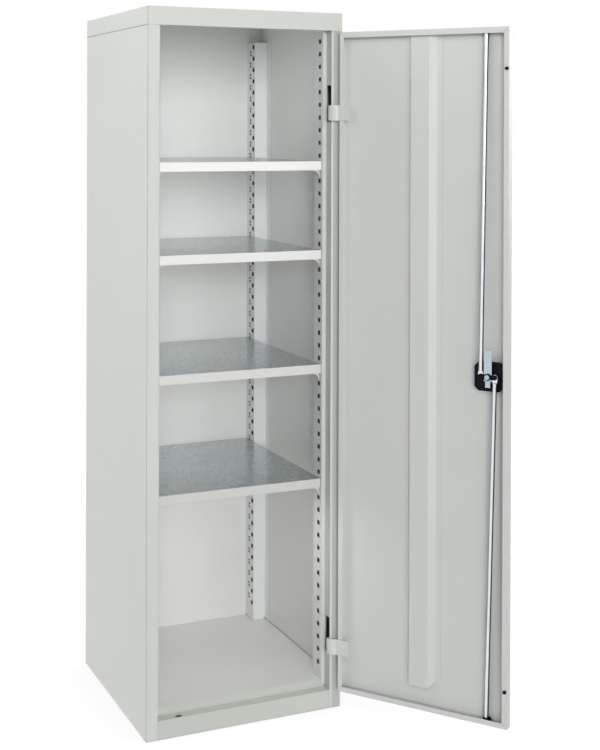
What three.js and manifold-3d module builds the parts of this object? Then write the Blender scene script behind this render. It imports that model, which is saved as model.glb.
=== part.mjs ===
// A tall single-door steel cabinet, modelled in millimetres with +Z up.
// The origin is on the floor, under the middle of the front face. +Y goes into the cabinet.
import * as THREE from 'three';
import { mergeVertices } from 'three/addons/utils/BufferGeometryUtils.js';
import Module from 'manifold-3d';

const wasm = await Module();
wasm.setup();

// overall sizes
const width = 570;
const depth = 595;
const height = 1950;
const sheet = 1.2;
const postSheet = 1.5;
const shelfSheet = 1.0;
const gap = 0.3;
const half = width / 2;

// front frame
const capHeight = 49;
const plinthHeight = 51;
const stileWidth = 32.5;
const rebateDepth = 30;
const stopWidth = 11.5;
const openingHalf = half - stileWidth;
const capBottom = height - capHeight;
const floorTop = 72;
const betweenStops = openingHalf - stopWidth - gap;
const backInside = depth - sheet - gap;

// shelf posts
const postInset = 45;
const postFace = half - postInset;
const postBottom = floorTop + gap;
const postTop = 1897;
const slotCount = 50;
const slotPitch = 35.86;
const slotFirst = 116;
const slotWide = 13;
const slotTall = 11;
const frontSlotY = 49.5;
const rearSlotY = 544;
const rearSlotLift = 9.5;

// shelves, by the number of the slot that each one hangs on
const shelfSlots = [39, 32, 23, 14];
const shelfAboveSlot = 20;
const shelfLip = 25.5;
const shelfFront = 36;
const shelfBack = 588;

// door, in its closed place
const doorGap = 2;
const doorHalf = openingHalf - doorGap;
const doorBottom = 52.5;
const doorTop = 1896;
const doorThick = 24;
const lipHinge = 13;
const lipFree = 14;
const lipTop = 16;
const lipBottom = 14;

// hinges
const pivotX = 270.5;
const pivotY = 7.5;
const openDegrees = 126.2;
const armThick = 3;
const armRadius = 24.5;
const armAngle = 65;
const armBottoms = [1649, 154];
const armHeight = 43;
const hingeSlotHeight = 102;
const pinRadius = 3;
const runningFit = 0.05;

// lock
const lockX = -195;
const lockZ = 973;
const camReach = 20;
const tongueFront = 24.6;
const tongueThick = 2.5;
const tongueReach = 70.5;
const rodRadius = 6;
const rodEndX = { upper: -182, lower: -188 };
const rodEndY = 10.5;
const rodTopEnd = 1892;
const rodBottomEnd = 57;
const rodHole = 7;
const rodSway = 4.8;

// turns a three.js shape into a solid for cutting and joining
function toSolid(geometry) {
  const flat = geometry.index ? geometry.toNonIndexed() : geometry;
  const bare = new THREE.BufferGeometry();
  bare.setAttribute('position', flat.getAttribute('position').clone());
  const joined = mergeVertices(bare, 1e-4);
  const mesh = new wasm.Mesh({
    numProp: 3,
    vertProperties: new Float32Array(joined.getAttribute('position').array),
    triVerts: new Uint32Array(joined.index.array),
  });
  return new wasm.Manifold(mesh);
}

function toGeometry(solid) {
  const mesh = solid.getMesh();
  const geometry = new THREE.BufferGeometry();
  geometry.setAttribute('position', new THREE.BufferAttribute(new Float32Array(mesh.vertProperties), 3));
  geometry.setIndex(new THREE.BufferAttribute(new Uint32Array(mesh.triVerts), 1));
  const flat = geometry.toNonIndexed();
  flat.computeVertexNormals();
  return flat;
}

function block(x0, x1, y0, y1, z0, z1) {
  const box = new THREE.BoxGeometry(x1 - x0, y1 - y0, z1 - z0);
  box.translate((x0 + x1) / 2, (y0 + y1) / 2, (z0 + z1) / 2);
  return toSolid(box);
}

// a flat outline in X and Y, raised from z0 to z1
function raised(points, z0, z1) {
  const shape = new THREE.Shape(points.map(([x, y]) => new THREE.Vector2(x, y)));
  const body = new THREE.ExtrudeGeometry(shape, { depth: z1 - z0, bevelEnabled: false });
  body.translate(0, 0, z0);
  return toSolid(body);
}

// a flat outline in X and Z, standing between two depths y0 and y1
function standing(points, y0, y1) {
  const shape = new THREE.Shape(points.map(([x, z]) => new THREE.Vector2(x, z)));
  const body = new THREE.ExtrudeGeometry(shape, { depth: y1 - y0, bevelEnabled: false });
  body.rotateX(Math.PI / 2);
  body.translate(0, y1, 0);
  return toSolid(body);
}

// the outline of a folded sheet: the path is its outer face, and the thickness lies to its right
function folded(path, thickness) {
  const inner = path.map((point, i) => {
    const before = path[Math.max(i - 1, 0)];
    const after = path[Math.min(i + 1, path.length - 1)];
    const first = new THREE.Vector2(point[0] - before[0], point[1] - before[1]);
    const second = new THREE.Vector2(after[0] - point[0], after[1] - point[1]);
    if (i === 0) first.copy(second);
    if (i === path.length - 1) second.copy(first);
    first.normalize();
    second.normalize();
    const normalA = new THREE.Vector2(first.y, -first.x);
    const normalB = new THREE.Vector2(second.y, -second.x);
    const mitre = normalA.clone().add(normalB);
    mitre.multiplyScalar(thickness / (1 + normalA.dot(normalB)));
    return [point[0] + mitre.x, point[1] + mitre.y];
  });
  return path.concat(inner.reverse());
}

function arcPoints(x, y, radius, from, to, steps) {
  const points = [];
  for (let i = 0; i <= steps; i += 1) {
    const angle = THREE.MathUtils.degToRad(from + (to - from) * i / steps);
    points.push([x + radius * Math.cos(angle), y + radius * Math.sin(angle)]);
  }
  return points;
}

function disc(x, y, radius, z0, z1, sides = 32) {
  const body = new THREE.CylinderGeometry(radius, radius, z1 - z0, sides);
  body.rotateX(Math.PI / 2);
  body.translate(x, y, (z0 + z1) / 2);
  return toSolid(body);
}

// a round bar whose axis runs along Y
function spindleDisc(x, z, radius, y0, y1, sides = 32) {
  const body = new THREE.CylinderGeometry(radius, radius, y1 - y0, sides);
  body.translate(x, (y0 + y1) / 2, z);
  return toSolid(body);
}

// a bore is cut a little over its radius, so that its flat sides stay outside the true circle
function boreRadius(radius, sides = 32) {
  return radius / Math.cos(Math.PI / sides);
}

// the oval hole that a lock rod passes through: the rod sways to one side as it moves out
function rodOval(word, extra, z0, z1) {
  const rest = rodEndX[word];
  const swung = word === 'upper' ? rest + rodSway : rest - rodSway;
  const radius = rodHole + extra;
  const outline = [
    ...arcPoints(Math.max(rest, swung), rodEndY, radius, -90, 90, 8),
    ...arcPoints(Math.min(rest, swung), rodEndY, radius, 90, 270, 8),
  ];
  return raised(outline, z0, z1);
}

const group = new THREE.Group();
group.name = 'door_cabinet';
const carcass = new THREE.Group();
const door = new THREE.Group();
const doorParts = new THREE.Group();
door.position.set(pivotX, pivotY, 0);
door.rotation.z = THREE.MathUtils.degToRad(openDegrees);
doorParts.position.set(-pivotX, -pivotY, 0);
door.add(doorParts);
group.add(carcass, door);

function add(parent, name, solid, colour, roughness, metalness) {
  const material = new THREE.MeshStandardMaterial({ color: colour, roughness, metalness });
  const mesh = new THREE.Mesh(toGeometry(solid), material);
  mesh.name = name;
  parent.add(mesh);
}

const greyPaint = [0xd3d7d0, 0.45, 0.1];
const zincSteel = [0xa3a9a8, 0.4, 0.8];
const plainSteel = [0xc4c8cb, 0.3, 0.9];
const blackPlastic = [0x1b1f26, 0.5, 0.0];

// side panels: wall, stile face, rebate side and stop strip from one folded sheet
function sidePanel(side) {
  const path = [
    [half, depth],
    [half, 0],
    [openingHalf, 0],
    [openingHalf, rebateDepth],
    [openingHalf - stopWidth, rebateDepth],
  ];
  return raised(folded(path, sheet), 0, capBottom - gap).scale([side, 1, 1]);
}

let rightPanel = sidePanel(1);
for (const bottom of armBottoms) {
  const slot = block(openingHalf - 1, openingHalf + 3, 1.5, rebateDepth - 1.5, bottom - 3, bottom - 3 + hingeSlotHeight);
  rightPanel = rightPanel.subtract(slot);
}
add(carcass, 'side_panel_right', rightPanel, ...greyPaint);

const keeperSlot = block(-openingHalf - 3, -openingHalf + 1, 22.5, 29, lockZ - 14, lockZ + 56);
add(carcass, 'side_panel_left', sidePanel(-1).subtract(keeperSlot), ...greyPaint);

// top cap: a tray with its skirt down, and the ledge over the door
// the skirt's front corners are mitred, with the seam as a shallow groove in each side
const capSeam = [
  [1, height - 3],
  [33, capBottom - 1],
  [33.8, capBottom - 1],
  [1.8, height - 3],
];
const seamLeft = raised(capSeam, -half - 1, -half + 0.5).rotate([90, 0, 90]);
const seamRight = raised(capSeam, half - 0.5, half + 1).rotate([90, 0, 90]);
const capShell = block(-half, half, 0, depth, capBottom, height)
  .subtract(block(-half + sheet, half - sheet, sheet, depth + 1, capBottom - 1, height - sheet));
const capLedge = block(-half + 0.5, half - 0.5, 0.5, rebateDepth + sheet, capBottom, capBottom + sheet);
const topCap = capShell
  .add(capLedge)
  .subtract(rodOval('upper', 0, capBottom - 1, capBottom + 3))
  .subtract(seamLeft)
  .subtract(seamRight);
add(carcass, 'top_cap', topCap, ...greyPaint);

// plinth: face, ledge, back lip and bottom flange
const plinthPath = [
  [20, 0],
  [0, 0],
  [0, plinthHeight],
  [rebateDepth - gap, plinthHeight],
  [rebateDepth - gap, plinthHeight - 11],
];
const plinthHalf = openingHalf - gap;
const plinth = raised(folded(plinthPath, sheet), -plinthHalf, plinthHalf)
  .rotate([90, 0, 90])
  .subtract(rodOval('lower', 0, plinthHeight - 3, plinthHeight + 1));
add(carcass, 'plinth_front', plinth, ...greyPaint);

// floor panel: a tray turned over, with its front fold behind the plinth's ledge
const floorHalf = 282;
const floorPanel = block(-floorHalf, floorHalf, rebateDepth + sheet + gap, backInside, 45, floorTop)
  .subtract(block(-floorHalf + sheet, floorHalf - sheet, 0, backInside - sheet, 44, floorTop - sheet))
  .add(block(-betweenStops, betweenStops, rebateDepth, rebateDepth + 3, floorTop - sheet, floorTop))
  .add(block(-betweenStops, betweenStops, rebateDepth, rebateDepth + sheet, 42, floorTop));
add(carcass, 'floor_panel', floorPanel, ...greyPaint);

// back panel: one sheet that runs up under the cap's top, with its side flanges turned forward
const backHalf = half - sheet - gap;
const backPath = [
  [-backHalf, depth - 15],
  [-backHalf, depth],
  [backHalf, depth],
  [backHalf, depth - 15],
];
add(carcass, 'back_panel', raised(folded(backPath, sheet), 0, height - sheet - gap), ...greyPaint);

// posts: a row of slots up each perforated face
function cutSlots(post, side, slotY, lift) {
  let cut = post;
  for (let i = 0; i < slotCount; i += 1) {
    const z = slotFirst + lift + slotPitch * i;
    const x = side * postFace;
    const slot = block(x - 3, x + 3, slotY - slotWide / 2, slotY + slotWide / 2, z - slotTall / 2, z + slotTall / 2);
    cut = cut.subtract(slot);
  }
  return cut;
}

function frontPost(side) {
  const y0 = rebateDepth + sheet + gap;
  const wall = half - sheet - gap - postSheet;
  const path = [
    [openingHalf, y0],
    [postFace, y0],
    [postFace, 84],
    [wall, 84],
    [wall, 100],
  ];
  const post = raised(folded(path, postSheet), postBottom, postTop).scale([side, 1, 1]);
  return cutSlots(post, side, frontSlotY, 0);
}

function rearPost(side) {
  const wall = half - sheet - gap - postSheet;
  const path = [
    [wall, 506],
    [wall, 531],
    [postFace, 531],
    [postFace, backInside],
  ];
  const post = raised(folded(path, postSheet), postBottom, postTop).scale([side, 1, 1]);
  return cutSlots(post, side, rearSlotY, rearSlotLift);
}

for (const [word, side] of [['left', -1], ['right', 1]]) {
  add(carcass, `front_post_${word}`, frontPost(side), ...greyPaint);
  add(carcass, `rear_post_${word}`, rearPost(side), ...greyPaint);
}

// shelves: top, front lip with a return, back lip, and inset side lips that clear the clips
function shelf(top) {
  const wide = postFace - 0.6;
  const inset = postFace - 2.5;
  const t = shelfSheet;
  const under = -shelfLip - 1;
  return block(-wide, wide, shelfFront, shelfBack, -shelfLip, 0)
    .subtract(block(-inset + t, inset - t, shelfFront + 12, shelfBack - t, under, -t))
    .subtract(block(-inset + t, inset - t, shelfFront + t, shelfFront + 20, -shelfLip + t, -t))
    .subtract(block(inset, wide + 1, shelfFront + t, shelfBack - t, under, -t))
    .subtract(block(-wide - 1, -inset, shelfFront + t, shelfBack - t, under, -t))
    .translate([0, 0, top]);
}

// shelf clips: a back plate, a hook through the slot and a rounded ledge under the shelf's side lip
function shelfClip(side, slotY, slotZ, ledge) {
  const hookBack = postSheet + 0.4;
  const foot = ledge - 22;
  const outline = [
    [2.2, 4],
    [0.5, 4],
    [0.5, -2],
    [-hookBack - 2, -2],
    [-hookBack - 2, -13],
    [-hookBack, -13],
    [-hookBack, -5],
    [0.5, -5],
    [0.5, foot],
    [3, foot],
    ...arcPoints(18.5, foot + 3, 16, 170, 95, 7),
    [18.5, ledge],
    [2.2, ledge],
  ];
  const points = outline.map(([inward, up]) => [side * (postFace - inward), slotZ + up]);
  return standing(points, slotY - 3, slotY + 3);
}

const shelfWords = ['top', 'upper', 'middle', 'lower'];
shelfSlots.forEach((slotNumber, i) => {
  const slotZ = slotFirst + slotPitch * slotNumber;
  const rearSlotZ = slotZ + rearSlotLift;
  const ledge = shelfAboveSlot - shelfLip - gap;
  add(carcass, `shelf_${shelfWords[i]}`, shelf(slotZ + shelfAboveSlot), ...zincSteel);
  for (const [word, side] of [['left', -1], ['right', 1]]) {
    add(carcass, `clip_${shelfWords[i]}_front_${word}`, shelfClip(side, frontSlotY, slotZ, ledge), ...plainSteel);
    const rearClip = shelfClip(side, rearSlotY, rearSlotZ, ledge - rearSlotLift);
    add(carcass, `clip_${shelfWords[i]}_rear_${word}`, rearClip, ...plainSteel);
  }
});

// hinge brackets and pins inside the hinge-side stile
const earThick = 2.5;
const eyeRadius = 5.5;
const wallInside = half - sheet - gap;
function hingeBracket(bottom) {
  const top = bottom + armHeight;
  const reach = eyeRadius + 0.2;
  const ear = [
    ...arcPoints(pivotX, pivotY, reach, 90, 270, 12),
    [wallInside, pivotY - reach],
    [wallInside, pivotY + reach],
  ];
  return raised(ear, bottom - gap - earThick, bottom - gap)
    .add(raised(ear, top + gap, top + gap + earThick))
    .add(block(wallInside - 2, wallInside, pivotY - reach, pivotY + reach, bottom - 12, top + 12))
    .subtract(disc(pivotX, pivotY, boreRadius(pinRadius + runningFit), bottom - 10, top + 10));
}

function hingePin(bottom) {
  const foot = bottom - gap - earThick - 3;
  const head = bottom + armHeight + gap + earThick + gap;
  return disc(pivotX, pivotY, pinRadius, foot, head + 1)
    .add(disc(pivotX, pivotY, 4.5, head, head + 2.5));
}

// goose-neck arm: an eye on the pin, a curved neck through the slot and a leaf over the door's lip
function hingeArm(bottom) {
  const top = bottom + armHeight;
  const t = armThick / 2;
  const leafY = doorThick + gap + t;
  const neckEnd = 180 - THREE.MathUtils.radToDeg(Math.asin((leafY - pivotY) / armRadius));
  const outer = arcPoints(pivotX, pivotY, armRadius + t, armAngle - 3.5, neckEnd, 14);
  const inner = arcPoints(pivotX, pivotY, armRadius - t, armAngle + 3.5, neckEnd, 14);
  const neck = outer.concat(inner.reverse());
  const leafStart = pivotX + armRadius * Math.cos(THREE.MathUtils.degToRad(neckEnd));
  const leaf = block(doorHalf - 33, leafStart + 1.2, leafY - t, leafY + t, bottom, top);
  const link = block(0, armRadius, -t, t, bottom, top)
    .rotate([0, 0, armAngle])
    .translate([pivotX, pivotY, 0]);
  return raised(neck, bottom, top)
    .add(leaf)
    .add(link)
    .add(disc(pivotX, pivotY, eyeRadius, bottom, top))
    .subtract(disc(pivotX, pivotY, boreRadius(pinRadius + runningFit), bottom - 1, top + 1));
}

['upper', 'lower'].forEach((word, i) => {
  add(carcass, `hinge_bracket_${word}`, hingeBracket(armBottoms[i]), ...zincSteel);
  add(carcass, `hinge_pin_${word}`, hingePin(armBottoms[i]), ...plainSteel);
  add(doorParts, `hinge_arm_${word}`, hingeArm(armBottoms[i]), ...greyPaint);
});

// door: a tray with turned edges and an inner lip all round
const doorInside = block(
  -doorHalf + sheet, doorHalf - sheet, sheet, doorThick - sheet, doorBottom + sheet, doorTop - sheet);
const doorWindow = block(
  -doorHalf + lipFree, doorHalf - lipHinge, doorThick - 3, doorThick + 1, doorBottom + lipBottom, doorTop - lipTop);
const spindleRadius = 6;
const spindleHole = spindleDisc(lockX, lockZ, boreRadius(spindleRadius + 1), -1, 3);
let doorTray = block(-doorHalf, doorHalf, 0, doorThick, doorBottom, doorTop)
  .subtract(doorInside)
  .subtract(doorWindow)
  .subtract(rodOval('upper', 0, doorTop - 5, doorTop + 1))
  .subtract(rodOval('lower', 0, doorBottom - 1, doorBottom + 5))
  .subtract(spindleHole);

// each corner of the lip is a mitre, cut as a thin slit
const lipCorners = [
  [-doorHalf, lipFree, doorTop, -lipTop],
  [doorHalf, -lipHinge, doorTop, -lipTop],
  [-doorHalf, lipFree, doorBottom, lipBottom],
  [doorHalf, -lipHinge, doorBottom, lipBottom],
];
for (const [x, inX, z, inZ] of lipCorners) {
  const width = 0.7;
  const slit = [
    [x + inX * 0.14, z + inZ * 0.14],
    [x + inX * 0.14 + Math.sign(inX) * width, z + inZ * 0.14],
    [x + inX * 1.1 + Math.sign(inX) * width, z + inZ * 1.1],
    [x + inX * 1.1, z + inZ * 1.1],
  ];
  const turned = THREE.ShapeUtils.isClockWise(slit.map(([a, b]) => new THREE.Vector2(a, b))) ? slit.reverse() : slit;
  doorTray = doorTray.subtract(standing(turned, doorThick - 3, doorThick + 1));
}
add(doorParts, 'door_panel', doorTray, ...greyPaint);

// door stiffener: a shallow hat with one steep and one sloping side
const hatFoot = sheet + gap + sheet;
const hatHeight = 10;
const hatPath = [
  [doorHalf - 303, hatFoot],
  [doorHalf - 288, hatFoot],
  [doorHalf - 268, hatFoot + hatHeight],
  [doorHalf - 213, hatFoot + hatHeight],
  [doorHalf - 210, hatFoot],
  [doorHalf - 198, hatFoot],
];
const hatBottom = 110;
const hatCorner = [
  [doorHalf - 304, hatBottom - 1],
  [doorHalf - 266, hatBottom - 1],
  [doorHalf - 304, hatBottom + 32],
];
const hat = raised(folded(hatPath, sheet), hatBottom, doorTop - 3)
  .subtract(standing(hatCorner, 0, 20));
add(doorParts, 'door_stiffener', hat, ...greyPaint);

// lock: housing on the door, then the turning parts
const housingOutline = [
  [-40.5, -26.5],
  [-28.5, -38.5],
  [28.5, -38.5],
  [40.5, -26.5],
  [40.5, 26.5],
  [28.5, 38.5],
  [-28.5, 38.5],
  [-40.5, 26.5],
].map(([x, z]) => [lockX + 1.5 + x, lockZ - 1 + z]);
const housingBack = sheet + gap;
const lockHousing = standing(housingOutline, housingBack, housingBack + 14.5)
  .add(spindleDisc(lockX, lockZ, 12, housingBack + 12, tongueFront - gap))
  .subtract(spindleDisc(lockX, lockZ, boreRadius(spindleRadius + runningFit), 0, 40));
add(doorParts, 'lock_housing', lockHousing, ...blackPlastic);

const escutcheon = spindleDisc(lockX, lockZ, 24, -2.6, -gap, 48)
  .subtract(spindleDisc(lockX, lockZ, boreRadius(spindleRadius + runningFit), -5, 5));
add(doorParts, 'lock_escutcheon', escutcheon, ...blackPlastic);

const knobFace = -2.9;
const knobWing = [
  ...arcPoints(lockX, lockZ + 26, 6, 0, 180, 10),
  ...arcPoints(lockX, lockZ - 26, 6, 180, 360, 10),
];
const knob = spindleDisc(lockX, lockZ, 19, knobFace - 6, knobFace, 40)
  .add(standing(knobWing, knobFace - 22, knobFace - 5));
add(doorParts, 'lock_knob', knob, ...blackPlastic);

const camBack = tongueFront + tongueThick + gap;
const camFront = camBack + 2.6;
const spindle = spindleDisc(lockX, lockZ, spindleRadius, knobFace + gap, camBack)
  .add(spindleDisc(lockX, lockZ, 3, camBack - 1, camFront + 4.6));
add(doorParts, 'lock_spindle', spindle, ...plainSteel);

const tongueHalf = 11;
const tailHalf = 7;
const tongueOutline = [
  [-tailHalf, -28],
  [tailHalf, -28],
  [tailHalf, -11],
  [tongueHalf, -11],
  [tongueHalf, tongueReach],
  [-tongueHalf, tongueReach],
  [-tongueHalf, -11],
  [-tailHalf, -11],
].map(([x, z]) => [lockX + x, lockZ + z]);
const tongue = standing(tongueOutline, tongueFront, tongueFront + tongueThick)
  .subtract(spindleDisc(lockX, lockZ, boreRadius(spindleRadius + gap), 0, 40));
add(doorParts, 'lock_tongue', tongue, ...plainSteel);

// cam: two arms over the rod ends, with its pins pointing back towards the door
const armHalf = { upper: 8, lower: 6.5 };
const camOutline = [
  ...arcPoints(lockX + camReach, lockZ, armHalf.upper, -90, 90, 8),
  ...arcPoints(lockX, lockZ, 9.5, 40, 140, 6),
  ...arcPoints(lockX - camReach, lockZ, armHalf.lower, 90, 270, 8),
  ...arcPoints(lockX, lockZ, 9.5, 220, 320, 6),
];
const camPinRadius = 2.5;
let cam = standing(camOutline, camBack, camFront);
for (const side of [-1, 1]) {
  cam = cam.add(spindleDisc(lockX + side * camReach, lockZ, camPinRadius, tongueFront - 1, camBack + 1));
}
cam = cam.subtract(spindleDisc(lockX, lockZ, boreRadius(3 + gap), 20, 40));
add(doorParts, 'lock_cam', cam, ...blackPlastic);

const nutBack = camFront + gap;
const lockNut = spindleDisc(lockX, lockZ, 7, nutBack, nutBack + 3.6, 6)
  .subtract(spindleDisc(lockX, lockZ, boreRadius(3 + runningFit), 20, 40));
add(doorParts, 'lock_nut', lockNut, ...plainSteel);

// lock rods: a flared flat end on the cam pin, then a round bar out to the guide
const rodMiddleY = tongueFront + tongueThick / 2;
function lockRod(word) {
  const up = word === 'upper' ? 1 : -1;
  const pinX = lockX + up * camReach;
  const endZ = up > 0 ? rodTopEnd : rodBottomEnd;
  const from = new THREE.Vector3(pinX, rodMiddleY, lockZ);
  const to = new THREE.Vector3(rodEndX[word], rodEndY, endZ);
  const run = new THREE.Vector3().subVectors(to, from);
  const length = run.length();
  const bar = new THREE.CylinderGeometry(rodRadius, rodRadius, length - 14, 24);
  bar.translate(0, 14 + (length - 14) / 2, 0);
  const turn = new THREE.Quaternion().setFromUnitVectors(new THREE.Vector3(0, 1, 0), run.normalize());
  bar.applyQuaternion(turn);
  bar.translate(from.x, from.y, from.z);
  const lean = Math.atan2(to.x - from.x, to.z - from.z);
  const flare = [
    ...arcPoints(0, 0, 8, 180, 360, 10),
    [rodRadius, 17],
    [-rodRadius, 17],
  ].map(([x, z]) => [
    pinX + x * Math.cos(lean) + z * Math.sin(lean),
    lockZ - x * Math.sin(lean) + z * Math.cos(lean),
  ]);
  return toSolid(bar)
    .add(standing(flare, tongueFront + 0.1, tongueFront + tongueThick))
    .subtract(spindleDisc(pinX, lockZ, boreRadius(camPinRadius + runningFit), 20, 40));
}
add(doorParts, 'lock_rod_upper', lockRod('upper'), ...plainSteel);
add(doorParts, 'lock_rod_lower', lockRod('lower'), ...plainSteel);

// rod guides at the door's ends, and buffers on the free lip
for (const [word, z] of [['upper', doorTop - 13], ['lower', doorBottom + 4]]) {
  const guide = rodOval(word, 1.8, z, z + 11).subtract(rodOval(word, 0, z - 1, z + 12));
  add(doorParts, `rod_guide_${word}`, guide, ...blackPlastic);
}
for (const [word, z] of [['upper', 1786], ['lower', 151]]) {
  const buffer = spindleDisc(-doorHalf + 5.5, z, 4.5, doorThick + gap, rebateDepth - 0.5, 20);
  add(doorParts, `door_buffer_${word}`, buffer, ...blackPlastic);
}

export default group;
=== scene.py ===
import math

import bpy
from mathutils import Matrix, Vector

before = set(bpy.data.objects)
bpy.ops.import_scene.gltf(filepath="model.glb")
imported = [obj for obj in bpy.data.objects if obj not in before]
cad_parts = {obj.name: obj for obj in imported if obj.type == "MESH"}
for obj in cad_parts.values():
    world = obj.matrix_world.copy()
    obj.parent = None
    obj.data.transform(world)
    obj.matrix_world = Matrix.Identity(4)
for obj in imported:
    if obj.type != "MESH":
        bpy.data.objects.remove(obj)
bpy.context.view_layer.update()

# camera, from the lines of the photograph, in pixels, metres and degrees
FOCAL_PX = 1366.1
FRAME_TALL = 750
HORIZON_Y = 133.8
CAMERA_PLACE = (-1.4029, -3.4532, 1.6285)
CAMERA_YAW = -24.3
CAMERA_PITCH = -0.25
CAMERA_ROLL = 0.19
SENSOR = 36

# planes of the part in its own frame, in metres, as the CAD has them
HALF_WIDTH = 0.2850
CAP_BOTTOM = 1.9010
REBATE_FACE = 0.2525
POST_FACE = 0.2400
FRONT_FACE = 0.0

# slots and small holes of the posts, where dark shade is painted: heights, depths and, from RIM on, half
# sizes
SLOT_COUNT = 50
SLOT_PITCH = 0.03586
FRONT_SLOT_FIRST, FRONT_SLOT_Y = 0.1160, 0.0495
REAR_SLOT_FIRST, REAR_SLOT_Y = 0.1255, 0.5440
SMALL_HOLE_Y = 0.5675
UPPER_HOLE_BELOW, LOWER_HOLE_BELOW = 0.0148, 0.0242
SLOT_RIM_TALL, SLOT_RIM_WIDE = 0.0061, 0.0072
SMALL_HOLE_TALL, SMALL_HOLE_WIDE = 0.0027, 0.0060

# stretches of the part, each as its middle and half of its length
INSIDE_X = (0.0, 0.2843)
INSIDE_Y = (0.3128, 0.2817)
# the channels behind the posts, where a near-black shade is painted
CHANNEL_X = (0.2623, 0.0219)
FRONT_CHANNEL_Y = (0.0580, 0.0245)
REAR_CHANNEL_Y = (0.5636, 0.0307)
CHANNEL_Z = (0.984, 0.911)

# half widths of the painted shade lines at the front corners and under the cap, and how far from a plane a
# point counts as on it
CORNER_SHADE_LINE = 0.0022
CAP_SHADE_LINE = 0.0012
SKIN = 0.0004
FOLD_SKIN = 0.0006

# where the shade on the stile beside the door starts and where it is full
STILE_SHADE_X = (0.2570, 0.2605)

# the upward part of a normal where a face starts to count as a top, and where it does fully
UP_RANGE = (0.4, 0.6)

# sockets of a colour mix
MIX_FACTOR, MIX_FIRST, MIX_SECOND, MIX_RESULT = 0, 6, 7, 2

# the way that the inside of the open door faces, and the range in which a side counts as turned there; rod
# sides turned away get painted reflection and shade
DOOR_INSIDE_FACES = (-0.807, -0.590, 0.0)
TURNED_RANGE = (0.62, 0.86)

# studio
WHITE = (1, 1, 1, 1)
FLOOR_SIZE = 60
FLOOR_MATTE = (0.85, 0.85, 0.85, 1)
FLOOR_GLOW_SHARE = 0.9
FILL_COLOUR = (0.97, 0.98, 1.0, 1)
FILL_STRENGTH = 0.05

# suns: name, azimuth and elevation of where they stand, strength, angle across
SUNS = (
    ("sun_camera_side", -14, 8, 1.09, 22),
    ("sun_front_right", 12, 10, 0.44, 30),
    ("sun_back_left", -122, 14, 1.4, 45),
    ("sun_back_right", 114, 14, 1.9, 35),
)

# lamps before the cabinet: name, place, target, size, power
LAMPS = (
    ("near_opening", (-0.1, -1.1, 1.0), (-0.1, 0.5, 1.0), (0.9, 1.8), 0.8),
    ("left_top", (-2.0, -0.6, 2.7), (-0.285, 0.3, 1.75), (1.2, 1.2), 9),
    ("front_top", (-0.8, -2.4, 2.9), (0, 0.1, 1.7), (1.2, 1.2), 7),
)

# lamps in the compartments, from the top: depth and height, depth and height of the target, power
COMPARTMENTS = (
    (0.12, 1.620, 0.520, 1.890, 0.28),
    (0.08, 1.850, 0.594, 1.780, 0.12),
    (0.24, 1.479, 0.560, 1.330, 0.31),
    (0.20, 1.228, 0.480, 0.990, 0.22),
    (0.21, 0.905, 0.490, 0.660, 0.24),
    (0.05, 0.582, 0.160, 0.072, 0.52),
)
COMPARTMENT_LAMP_X = -0.05
COMPARTMENT_TARGET_X = 0.0
COMPARTMENT_LAMP_SIZE = (0.34, 0.05)


def srgb(r, g, b):
    """A colour as a picture has it, 0 to 255, turned into linear light."""
    def linear(v):
        v = v / 255
        return v / 12.92 if v <= 0.04045 else ((v + 0.055) / 1.055) ** 2.4
    return (linear(r), linear(g), linear(b), 1.0)


def tones(r, g, b, drop=3):
    """A light tone and one that is darker by drop."""
    return srgb(r, g, b), srgb(r - drop, g - drop, b - drop)


# painted shade, near black, for the hollows behind the posts and round their slots
PAINTED_SHADE_BLACK = srgb(10, 11, 12)
# painted shade in tight corners and gaps
SEAM_PAINTED_SHADE = srgb(100, 104, 99)
# painted shade lines along the outer front corners and under the cap
OUTER_LINE_PAINTED_SHADE = srgb(150, 156, 150)
REBATE_SHADE = srgb(194, 200, 193)
STILE_SHADE = srgb(198, 203, 199)
INSIDE_LIGHT, INSIDE_DARK = tones(229, 230, 228)


def new_material(name):
    mat = bpy.data.materials.new(name)
    mat.use_nodes = True
    return mat, mat.node_tree, mat.node_tree.nodes["Principled BSDF"]


def feed(tree, socket, value):
    """Link the socket to another one, or set it to a plain value."""
    if isinstance(value, bpy.types.NodeSocket):
        tree.links.new(value, socket)
    else:
        socket.default_value = value


def object_noise(tree, scale, detail, stretch=(1, 1, 1)):
    coords = tree.nodes.new("ShaderNodeTexCoord")
    mapping = tree.nodes.new("ShaderNodeMapping")
    mapping.inputs["Scale"].default_value = stretch
    noise = tree.nodes.new("ShaderNodeTexNoise")
    noise.inputs["Scale"].default_value = scale
    noise.inputs["Detail"].default_value = detail
    tree.links.new(coords.outputs["Object"], mapping.inputs["Vector"])
    tree.links.new(mapping.outputs["Vector"], noise.inputs["Vector"])
    return noise


def ranged(tree, source, low, high, from_low=0.3, from_high=0.7):
    """low where source is from_low or less, high where it is from_high or more."""
    node = tree.nodes.new("ShaderNodeMapRange")
    node.inputs["From Min"].default_value = from_low
    node.inputs["From Max"].default_value = from_high
    node.inputs["To Min"].default_value = low
    node.inputs["To Max"].default_value = high
    tree.links.new(source, node.inputs["Value"])
    return node.outputs["Result"]


def mixed(tree, factor, first, second):
    """The first colour where factor is 0, the second where it is 1."""
    node = tree.nodes.new("ShaderNodeMix")
    node.data_type = "RGBA"
    feed(tree, node.inputs[MIX_FACTOR], factor)
    feed(tree, node.inputs[MIX_FIRST], first)
    feed(tree, node.inputs[MIX_SECOND], second)
    return node.outputs[MIX_RESULT]


def maths(tree, operation, *values):
    node = tree.nodes.new("ShaderNodeMath")
    node.operation = operation
    for socket, value in zip(node.inputs, values):
        feed(tree, socket, value)
    return node.outputs["Value"]


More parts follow.
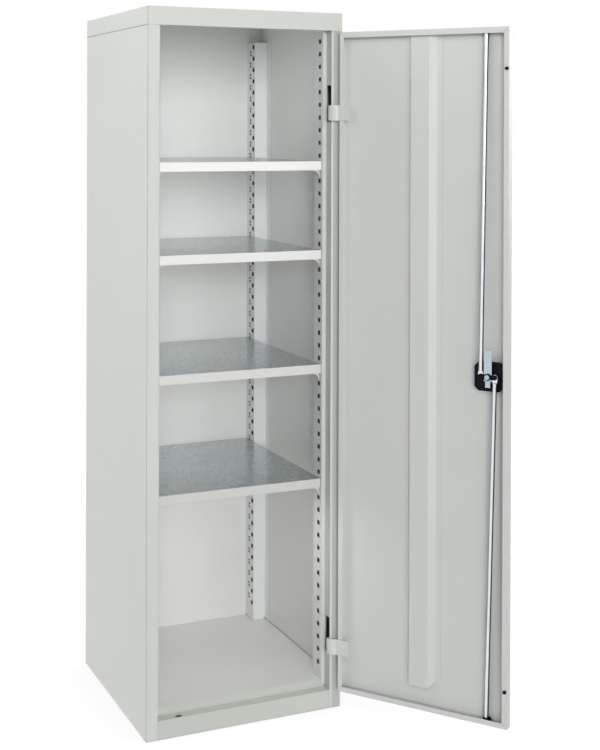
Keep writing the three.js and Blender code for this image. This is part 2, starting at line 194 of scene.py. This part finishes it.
def near(tree, value, middle, half):
    """1 where value is less than half away from middle, else 0."""
    away = maths(tree, "ABSOLUTE", maths(tree, "SUBTRACT", value, middle))
    return maths(tree, "LESS_THAN", away, half)


def all_of(tree, *masks):
    """1 where every mask is 1."""
    result = masks[0]
    for mask in masks[1:]:
        result = maths(tree, "MULTIPLY", result, mask)
    return result


def either(tree, first, second):
    """1 where at least one of the two masks is 1."""
    return maths(tree, "MAXIMUM", first, second)


def rounded_bump(tree, shader, height, strength, distance, radius):
    """A fine relief, with the object's sharp edges shaded as if rounded by radius."""
    bevel = tree.nodes.new("ShaderNodeBevel")
    bevel.samples = 4
    bevel.inputs["Radius"].default_value = radius
    bump = tree.nodes.new("ShaderNodeBump")
    bump.inputs["Strength"].default_value = strength
    bump.inputs["Distance"].default_value = distance
    tree.links.new(height, bump.inputs["Height"])
    tree.links.new(bevel.outputs["Normal"], bump.inputs["Normal"])
    tree.links.new(bump.outputs["Normal"], shader.inputs["Normal"])


def crevice(tree, reach, from_low, from_high, low=0.0, high=1.0):
    """low in tight corners and gaps, high on open surfaces, from ambient occlusion; used to paint shade."""
    shade = tree.nodes.new("ShaderNodeAmbientOcclusion")
    shade.samples = 6
    shade.inputs["Distance"].default_value = reach
    return ranged(tree, shade.outputs["AO"], low, high, from_low, from_high)


def object_place(tree):
    """Where a point lies in the part's own frame; across is its distance from the middle plane."""
    coords = tree.nodes.new("ShaderNodeTexCoord")
    parts = tree.nodes.new("ShaderNodeSeparateXYZ")
    tree.links.new(coords.outputs["Object"], parts.inputs["Vector"])
    place = {word: parts.outputs[word.upper()] for word in "xyz"}
    place["across"] = maths(tree, "ABSOLUTE", place["x"])
    return place


def facing_up(tree):
    """1 on faces that look up, 0 on upright ones and below."""
    geometry = tree.nodes.new("ShaderNodeNewGeometry")
    parts = tree.nodes.new("ShaderNodeSeparateXYZ")
    tree.links.new(geometry.outputs["True Normal"], parts.inputs["Vector"])
    return ranged(tree, parts.outputs["Z"], 0.0, 1.0, *UP_RANGE)


def inner_faces(tree, colour, tone):
    """The faces inside the cabinet, a more neutral grey than the outside."""
    place = object_place(tree)
    inside = all_of(tree, near(tree, place["across"], *INSIDE_X), near(tree, place["y"], *INSIDE_Y))
    return mixed(tree, inside, colour, mixed(tree, tone, INSIDE_DARK, INSIDE_LIGHT))


def outer_shade_lines(tree, colour):
    """Painted shade: fine dark lines along the front corners and under the cap's skirt."""
    place = object_place(tree)
    on_side = near(tree, place["across"], HALF_WIDTH, SKIN)
    corner = near(tree, place["y"], FRONT_FACE, CORNER_SHADE_LINE)
    under_cap = near(tree, place["z"], CAP_BOTTOM, CAP_SHADE_LINE)
    shade_line = all_of(tree, on_side, either(tree, corner, under_cap))
    return mixed(tree, shade_line, colour, OUTER_LINE_PAINTED_SHADE)


def hinge_side_shade(tree, colour):
    """The rebate and the half of the stile beside the door on the hinge side, which get less light."""
    place = object_place(tree)
    rebate = near(tree, place["x"], REBATE_FACE, FOLD_SKIN)
    colour = mixed(tree, rebate, colour, REBATE_SHADE)
    outer_half = ranged(tree, place["x"], 0.0, 1.0, *STILE_SHADE_X)
    on_front = near(tree, place["y"], FRONT_FACE, FOLD_SKIN)
    return mixed(tree, all_of(tree, outer_half, on_front), colour, STILE_SHADE)


def painted_hollow_shade(tree, colour):
    """Painted shade: the hollows behind the posts are coloured near black, which shows through the slots.
    """
    place = object_place(tree)
    behind_face = near(tree, place["across"], *CHANNEL_X)
    behind_front = near(tree, place["y"], *FRONT_CHANNEL_Y)
    behind_rear = near(tree, place["y"], *REAR_CHANNEL_Y)
    in_height = near(tree, place["z"], *CHANNEL_Z)
    hollow = all_of(tree, behind_face, either(tree, behind_front, behind_rear), in_height)
    return mixed(tree, hollow, colour, PAINTED_SHADE_BLACK)


def painted_slot_shade(tree, colour, first, slot_y, hole_y=None):
    """Painted shade: dark rims round the slots of a post and, on the rear posts, dark spots for the pairs
    of small holes beside them.

    first is the height of the lowest slot. along is the height within one pitch, with a slot in its middle.
    The lower hole lies in the pitch below that of its slot, so a whole pitch is added to its place.
    """
    place = object_place(tree)
    half_pitch = 0.5 * SLOT_PITCH
    half_row = half_pitch * (SLOT_COUNT - 1)
    on_face = near(tree, place["across"], POST_FACE, SKIN)
    in_row = near(tree, place["z"], first + half_row, half_row + 0.5 * half_pitch)
    from_start = maths(tree, "ADD", maths(tree, "SUBTRACT", place["z"], first), half_pitch)
    along = maths(tree, "FLOORED_MODULO", from_start, SLOT_PITCH)
    slot_height = near(tree, along, half_pitch, SLOT_RIM_TALL)
    dark = all_of(tree, slot_height, near(tree, place["y"], slot_y, SLOT_RIM_WIDE))
    if hole_y:
        upper = near(tree, along, half_pitch - UPPER_HOLE_BELOW, SMALL_HOLE_TALL)
        lower = near(tree, along, half_pitch + SLOT_PITCH - LOWER_HOLE_BELOW, SMALL_HOLE_TALL)
        beside = near(tree, place["y"], hole_y, SMALL_HOLE_WIDE)
        dark = either(tree, dark, all_of(tree, either(tree, upper, lower), beside))
    return mixed(tree, all_of(tree, on_face, in_row, dark), colour, PAINTED_SHADE_BLACK)


def powder_coat(name, colours, sides=False, cap=False, posts=None, riser=None, shaded_seams=True):
    """Pale powder coat: a fine orange peel, a slow drift of tone and gloss, and painted shade in the seams.

    sides adds what the side and back panels show, among it painted shade on the hinge side, along
    the outer corners and in the hollows behind the posts; cap the painted shade line under the cap; posts
    is what the painted slot shade takes, and riser is the colour, a painted shade, of faces that don't look
    up.
    """
    mat, tree, shader = new_material(name)
    light, dark = colours
    peel = object_noise(tree, scale=900.0, detail=2.0)
    cloud = object_noise(tree, scale=5.0, detail=3.0)
    tone = ranged(tree, cloud.outputs["Fac"], 0.0, 1.0)
    colour = mixed(tree, tone, dark, light)
    # painted shade: faces that don't look up take the darker riser colour
    if riser:
        colour = mixed(tree, facing_up(tree), riser, colour)
    if sides:
        colour = inner_faces(tree, colour, tone)
        colour = hinge_side_shade(tree, colour)
    # painted shade lines along the outer corners and under the cap
    if sides or cap:
        colour = outer_shade_lines(tree, colour)
    # painted shade in tight corners and gaps, from ambient occlusion
    if shaded_seams:
        open_surface = crevice(tree, reach=0.016, from_low=0.12, from_high=0.5)
        colour = mixed(tree, open_surface, SEAM_PAINTED_SHADE, colour)
    # painted shade: the hollows behind the posts coloured near black
    if sides or posts:
        colour = painted_hollow_shade(tree, colour)
    # painted shade round the slots and small holes of the posts
    if posts:
        colour = painted_slot_shade(tree, colour, *posts)
    tree.links.new(colour, shader.inputs["Base Color"])
    tree.links.new(ranged(tree, cloud.outputs["Fac"], 0.36, 0.44), shader.inputs["Roughness"])
    shader.inputs["Metallic"].default_value = 0.0
    shader.inputs["Specular IOR Level"].default_value = 0.4
    rounded_bump(tree, shader, peel.outputs["Fac"], strength=0.18, distance=0.0002, radius=0.0012)
    return mat


def galvanised(name, top_colours, lip_colours):
    """Zinc-coated sheet: a soft sheen with fine rolling lines on the flat top, and paler folded edges."""
    mat, tree, shader = new_material(name)
    grain_share = 0.75
    lip_roughness = 0.2
    coords = tree.nodes.new("ShaderNodeTexCoord")
    spangle = tree.nodes.new("ShaderNodeTexVoronoi")
    spangle.inputs["Scale"].default_value = 85.0
    tree.links.new(coords.outputs["Object"], spangle.inputs["Vector"])
    grain = object_noise(tree, scale=420.0, detail=4.0, stretch=(1.0, 0.12, 1.0))
    cloud = object_noise(tree, scale=7.0, detail=2.0)
    blotch = mixed(tree, grain_share, spangle.outputs["Color"], grain.outputs["Color"])
    grey = tree.nodes.new("ShaderNodeRGBToBW")
    tree.links.new(blotch, grey.inputs["Color"])
    tone = ranged(tree, grey.outputs["Val"], 0.0, 1.0, 0.2, 0.8)
    top_light, top_dark = top_colours
    lip_light, lip_dark = lip_colours
    flat = mixed(tree, tone, top_dark, top_light)
    edge = mixed(tree, cloud.outputs["Fac"], lip_dark, lip_light)
    up = facing_up(tree)
    tree.links.new(mixed(tree, up, edge, flat), shader.inputs["Base Color"])
    sheen = ranged(tree, grey.outputs["Val"], 0.2, 0.32, 0.2, 0.8)
    duller = maths(tree, "MULTIPLY", maths(tree, "SUBTRACT", 1.0, up), lip_roughness)
    tree.links.new(maths(tree, "ADD", sheen, duller), shader.inputs["Roughness"])
    tree.links.new(ranged(tree, up, 0.25, 0.9, 0.0, 1.0), shader.inputs["Metallic"])
    rounded_bump(tree, shader, grain.outputs["Fac"], strength=0.12, distance=0.0002, radius=0.0008)
    return mat


def plated_steel(name, colours, stretch, roughness, painted_dark_reflection=None):
    """Bright zinc plating with faint drawn lines.

    Where a dark side colour is given, it is painted reflection and shade on the sides that are turned away
    from the inside of the door.
    """
    mat, tree, shader = new_material(name)
    light, dark = colours
    lines = object_noise(tree, scale=500.0, detail=3.0, stretch=stretch)
    stain = object_noise(tree, scale=30.0, detail=2.0)
    colour = mixed(tree, stain.outputs["Fac"], dark, light)
    if painted_dark_reflection:
        coords = tree.nodes.new("ShaderNodeTexCoord")
        turned = tree.nodes.new("ShaderNodeVectorMath")
        turned.operation = "DOT_PRODUCT"
        turned.inputs[1].default_value = DOOR_INSIDE_FACES
        tree.links.new(coords.outputs["Normal"], turned.inputs[0])
        bright = ranged(tree, turned.outputs["Value"], 0.0, 1.0, *TURNED_RANGE)
        colour = mixed(tree, bright, painted_dark_reflection, colour)
    tree.links.new(colour, shader.inputs["Base Color"])
    dull_lines = ranged(tree, lines.outputs["Fac"], roughness, roughness + 0.14)
    tree.links.new(dull_lines, shader.inputs["Roughness"])
    shader.inputs["Metallic"].default_value = 0.9
    rounded_bump(tree, shader, lines.outputs["Fac"], strength=0.15, distance=0.0001, radius=0.0004)
    return mat


def moulded(name, colours, roughness):
    """Dark moulded plastic or rubber with a fine grain."""
    mat, tree, shader = new_material(name)
    light, dark = colours
    grain = object_noise(tree, scale=1400.0, detail=2.0)
    dust = object_noise(tree, scale=60.0, detail=3.0)
    tree.links.new(mixed(tree, dust.outputs["Fac"], dark, light), shader.inputs["Base Color"])
    dusty = ranged(tree, dust.outputs["Fac"], roughness - 0.06, roughness + 0.08)
    tree.links.new(dusty, shader.inputs["Roughness"])
    shader.inputs["Specular IOR Level"].default_value = 0.12
    rounded_bump(tree, shader, grain.outputs["Fac"], strength=0.25, distance=0.0002, radius=0.0006)
    return mat


COAT = "light_grey_powder_coat"
PAINT_CAP = powder_coat(COAT, tones(230, 233, 226), cap=True)
# painted shade: the plinth is a darker tone of the same coat, as less light reaches the bottom
PAINT_PLINTH_SHADED = powder_coat(f"{COAT}_plinth", tones(216, 220, 213))
# painted light: the floor's tops are paler than the coat, for light from above; its risers darker, painted
# shade
PAINT_FLOOR_PAINTED_LIGHT = powder_coat(f"{COAT}_floor", tones(247, 247, 243), riser=srgb(214, 218, 211))
PAINT_SIDES = powder_coat(f"{COAT}_sides", tones(229, 232, 226), sides=True)
PAINT_BACK = powder_coat(f"{COAT}_back", tones(229, 232, 226), sides=True, shaded_seams=False)
PAINT_FRONT_POSTS = powder_coat(f"{COAT}_front_posts", tones(230, 232, 232),
                                posts=(FRONT_SLOT_FIRST, FRONT_SLOT_Y))
PAINT_REAR_POSTS = powder_coat(f"{COAT}_rear_posts", tones(234, 236, 236),
                               posts=(REAR_SLOT_FIRST, REAR_SLOT_Y, SMALL_HOLE_Y))
PAINT_DOOR = powder_coat(f"{COAT}_door", tones(227, 229, 226))
CLIP = powder_coat("pale_clip", tones(236, 237, 233, drop=6))

SHELF_TOPS = (srgb(198, 204, 207), srgb(183, 190, 194))
# the lips get darker from the top shelf down: painted shade for light that falls off lower down
SHELF_LIPS_PAINTED_SHADE = {"top": 243, "upper": 234, "middle": 220, "lower": 212}
SHELVES = {word: galvanised(f"galvanised_shelf_{word}", SHELF_TOPS, tones(lip, lip, lip - 3, drop=4))
           for word, lip in SHELF_LIPS_PAINTED_SHADE.items()}
BRACKET = galvanised("galvanised_bracket", (srgb(176, 178, 178), srgb(158, 160, 161)),
                     (srgb(176, 178, 178), srgb(160, 163, 164)))

# the dark blue grey on the rods' sides turned away from the door's inside is painted reflection and shade
RODS = plated_steel("drawn_rod", (srgb(236, 237, 239), srgb(222, 224, 227)), (1.0, 1.0, 0.03), 0.14,
                    painted_dark_reflection=srgb(70, 80, 92))
STEEL = plated_steel("plated_steel", (srgb(196, 205, 214), srgb(180, 189, 200)), (1.0, 1.0, 0.08), 0.3)
BLACK = moulded("black_moulding", (srgb(11, 14, 22), srgb(7, 9, 15)), 0.55)
RUBBER = moulded("black_rubber", tones(26, 26, 27, drop=8), 0.7)

WEARERS = [
    (PAINT_CAP, ("top_cap",)),
    (PAINT_PLINTH_SHADED, ("plinth_front",)),
    (PAINT_FLOOR_PAINTED_LIGHT, ("floor_panel",)),
    (PAINT_SIDES, ("side_panel_left", "side_panel_right")),
    (PAINT_BACK, ("back_panel",)),
    (PAINT_FRONT_POSTS, ("front_post_left", "front_post_right")),
    (PAINT_REAR_POSTS, ("rear_post_left", "rear_post_right")),
    (PAINT_DOOR, ("door_panel", "door_stiffener", "hinge_arm_upper", "hinge_arm_lower")),
    (BRACKET, ("hinge_bracket_upper", "hinge_bracket_lower")),
    (RODS, ("lock_rod_upper", "lock_rod_lower")),
    (STEEL, ("lock_spindle", "lock_tongue", "lock_nut", "hinge_pin_upper", "hinge_pin_lower")),
    (BLACK, ("lock_housing", "lock_escutcheon", "lock_knob", "lock_cam",
             "rod_guide_upper", "rod_guide_lower")),
    (RUBBER, ("door_buffer_upper", "door_buffer_lower")),
]
WEARERS += [(look, (f"shelf_{word}",)) for word, look in SHELVES.items()]
LOOKS = {name: look for look, names in WEARERS for name in names}


def dress_nodes():
    for name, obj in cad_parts.items():
        look = CLIP if name.startswith("clip_") else LOOKS[name]
        obj.data.materials.clear()
        obj.data.materials.append(look)


def white_to_camera(tree):
    """1 for rays from the camera, off gloss and through glass, 0 for the rest."""
    path = tree.nodes.new("ShaderNodeLightPath")
    seen = either(tree, path.outputs["Is Camera Ray"], path.outputs["Is Glossy Ray"])
    return either(tree, seen, path.outputs["Is Transmission Ray"])


def show_mixed(tree, output, factor, plain, white):
    """Send plain to the output where factor is 0 and white where it is 1."""
    out = tree.nodes.new(output)
    mix = tree.nodes.new("ShaderNodeMixShader")
    tree.links.new(factor, mix.inputs["Fac"])
    tree.links.new(plain, mix.inputs[1])
    tree.links.new(white, mix.inputs[2])
    tree.links.new(mix.outputs["Shader"], out.inputs["Surface"])


def add_floor():
    """A wide floor that keeps the shadow and shows nearly white, with a painted shadow: its glow is turned
    down close to the object.
    """
    bpy.ops.mesh.primitive_plane_add(size=FLOOR_SIZE, location=(0, 0, 0))
    floor = bpy.context.object
    floor.name = "studio_floor"
    mat = bpy.data.materials.new("studio_white")
    mat.use_nodes = True
    tree = mat.node_tree
    tree.nodes.clear()
    matte = tree.nodes.new("ShaderNodeBsdfDiffuse")
    matte.inputs["Color"].default_value = FLOOR_MATTE
    glow = tree.nodes.new("ShaderNodeEmission")
    glow.inputs["Color"].default_value = WHITE
    # painted shadow: the glow is turned down where the object closes in over the floor
    strength = crevice(tree, reach=0.30, from_low=0.2, from_high=0.95, low=0.93, high=1.12)
    tree.links.new(strength, glow.inputs["Strength"])
    share = maths(tree, "MULTIPLY", white_to_camera(tree), FLOOR_GLOW_SHARE)
    show_mixed(tree, "ShaderNodeOutputMaterial", share, matte.outputs["BSDF"], glow.outputs["Emission"])
    floor.data.materials.append(mat)


def add_world():
    """A faint fill for the object and a white background for the camera."""
    world = bpy.data.worlds.new("studio")
    bpy.context.scene.world = world
    world.use_nodes = True
    tree = world.node_tree
    tree.nodes.clear()
    fill = tree.nodes.new("ShaderNodeBackground")
    fill.inputs["Color"].default_value = FILL_COLOUR
    fill.inputs["Strength"].default_value = FILL_STRENGTH
    white = tree.nodes.new("ShaderNodeBackground")
    white.inputs["Color"].default_value = WHITE
    show_mixed(tree, "ShaderNodeOutputWorld", white_to_camera(tree),
               fill.outputs["Background"], white.outputs["Background"])


def add_lamp(name, place, target, size, power):
    lamp = bpy.data.lights.new(name, "AREA")
    lamp.shape = "RECTANGLE"
    lamp.size, lamp.size_y = size
    lamp.energy = power
    obj = bpy.data.objects.new(name, lamp)
    bpy.context.collection.objects.link(obj)
    obj.location = place
    obj.rotation_euler = (Vector(target) - Vector(place)).to_track_quat("-Z", "Y").to_euler()
    obj.visible_camera = False
    obj.visible_glossy = False


def add_sun(name, azimuth, elevation, strength, spread):
    lamp = bpy.data.lights.new(name, "SUN")
    lamp.energy = strength
    lamp.angle = math.radians(spread)
    obj = bpy.data.objects.new(name, lamp)
    bpy.context.collection.objects.link(obj)
    a, e = math.radians(azimuth), math.radians(elevation)
    towards = Vector((-math.sin(a) * math.cos(e), math.cos(a) * math.cos(e), -math.sin(e)))
    obj.rotation_euler = towards.to_track_quat("-Z", "Y").to_euler()


def add_camera():
    """The lens looks level and the middle of the picture lies below the horizon, as with a sliding back.

    The slide is a lean in the matrix to the parent, so that the camera by itself is a plain one.
    """
    slide = (FRAME_TALL / 2 - HORIZON_Y) / FOCAL_PX
    camera = bpy.data.cameras.new("camera")
    camera.sensor_width = SENSOR
    camera.lens = FOCAL_PX * math.hypot(1, slide) * SENSOR / FRAME_TALL
    camera.clip_end = 100
    stand = bpy.data.objects.new("camera_stand", None)
    obj = bpy.data.objects.new("camera", camera)
    bpy.context.collection.objects.link(stand)
    bpy.context.collection.objects.link(obj)
    turn = (Matrix.Rotation(math.radians(CAMERA_YAW), 4, "Z")
            @ Matrix.Rotation(math.radians(90 + CAMERA_PITCH), 4, "X")
            @ Matrix.Rotation(math.radians(CAMERA_ROLL), 4, "Z"))
    stand.matrix_world = Matrix.Translation(CAMERA_PLACE) @ turn
    lean = Matrix.Identity(4)
    lean[1][2] = slide
    obj.parent = stand
    obj.matrix_parent_inverse = lean
    bpy.context.scene.camera = obj


add_camera()
dress_nodes()
add_floor()
add_world()
for sun in SUNS:
    add_sun(*sun)
for lamp in LAMPS:
    add_lamp(*lamp)
for depth, height, target_depth, target_height, power in COMPARTMENTS:
    add_lamp("compartment", (COMPARTMENT_LAMP_X, depth, height),
             (COMPARTMENT_TARGET_X, target_depth, target_height), COMPARTMENT_LAMP_SIZE, power)
bpy.context.scene.view_settings.view_transform = "Standard"
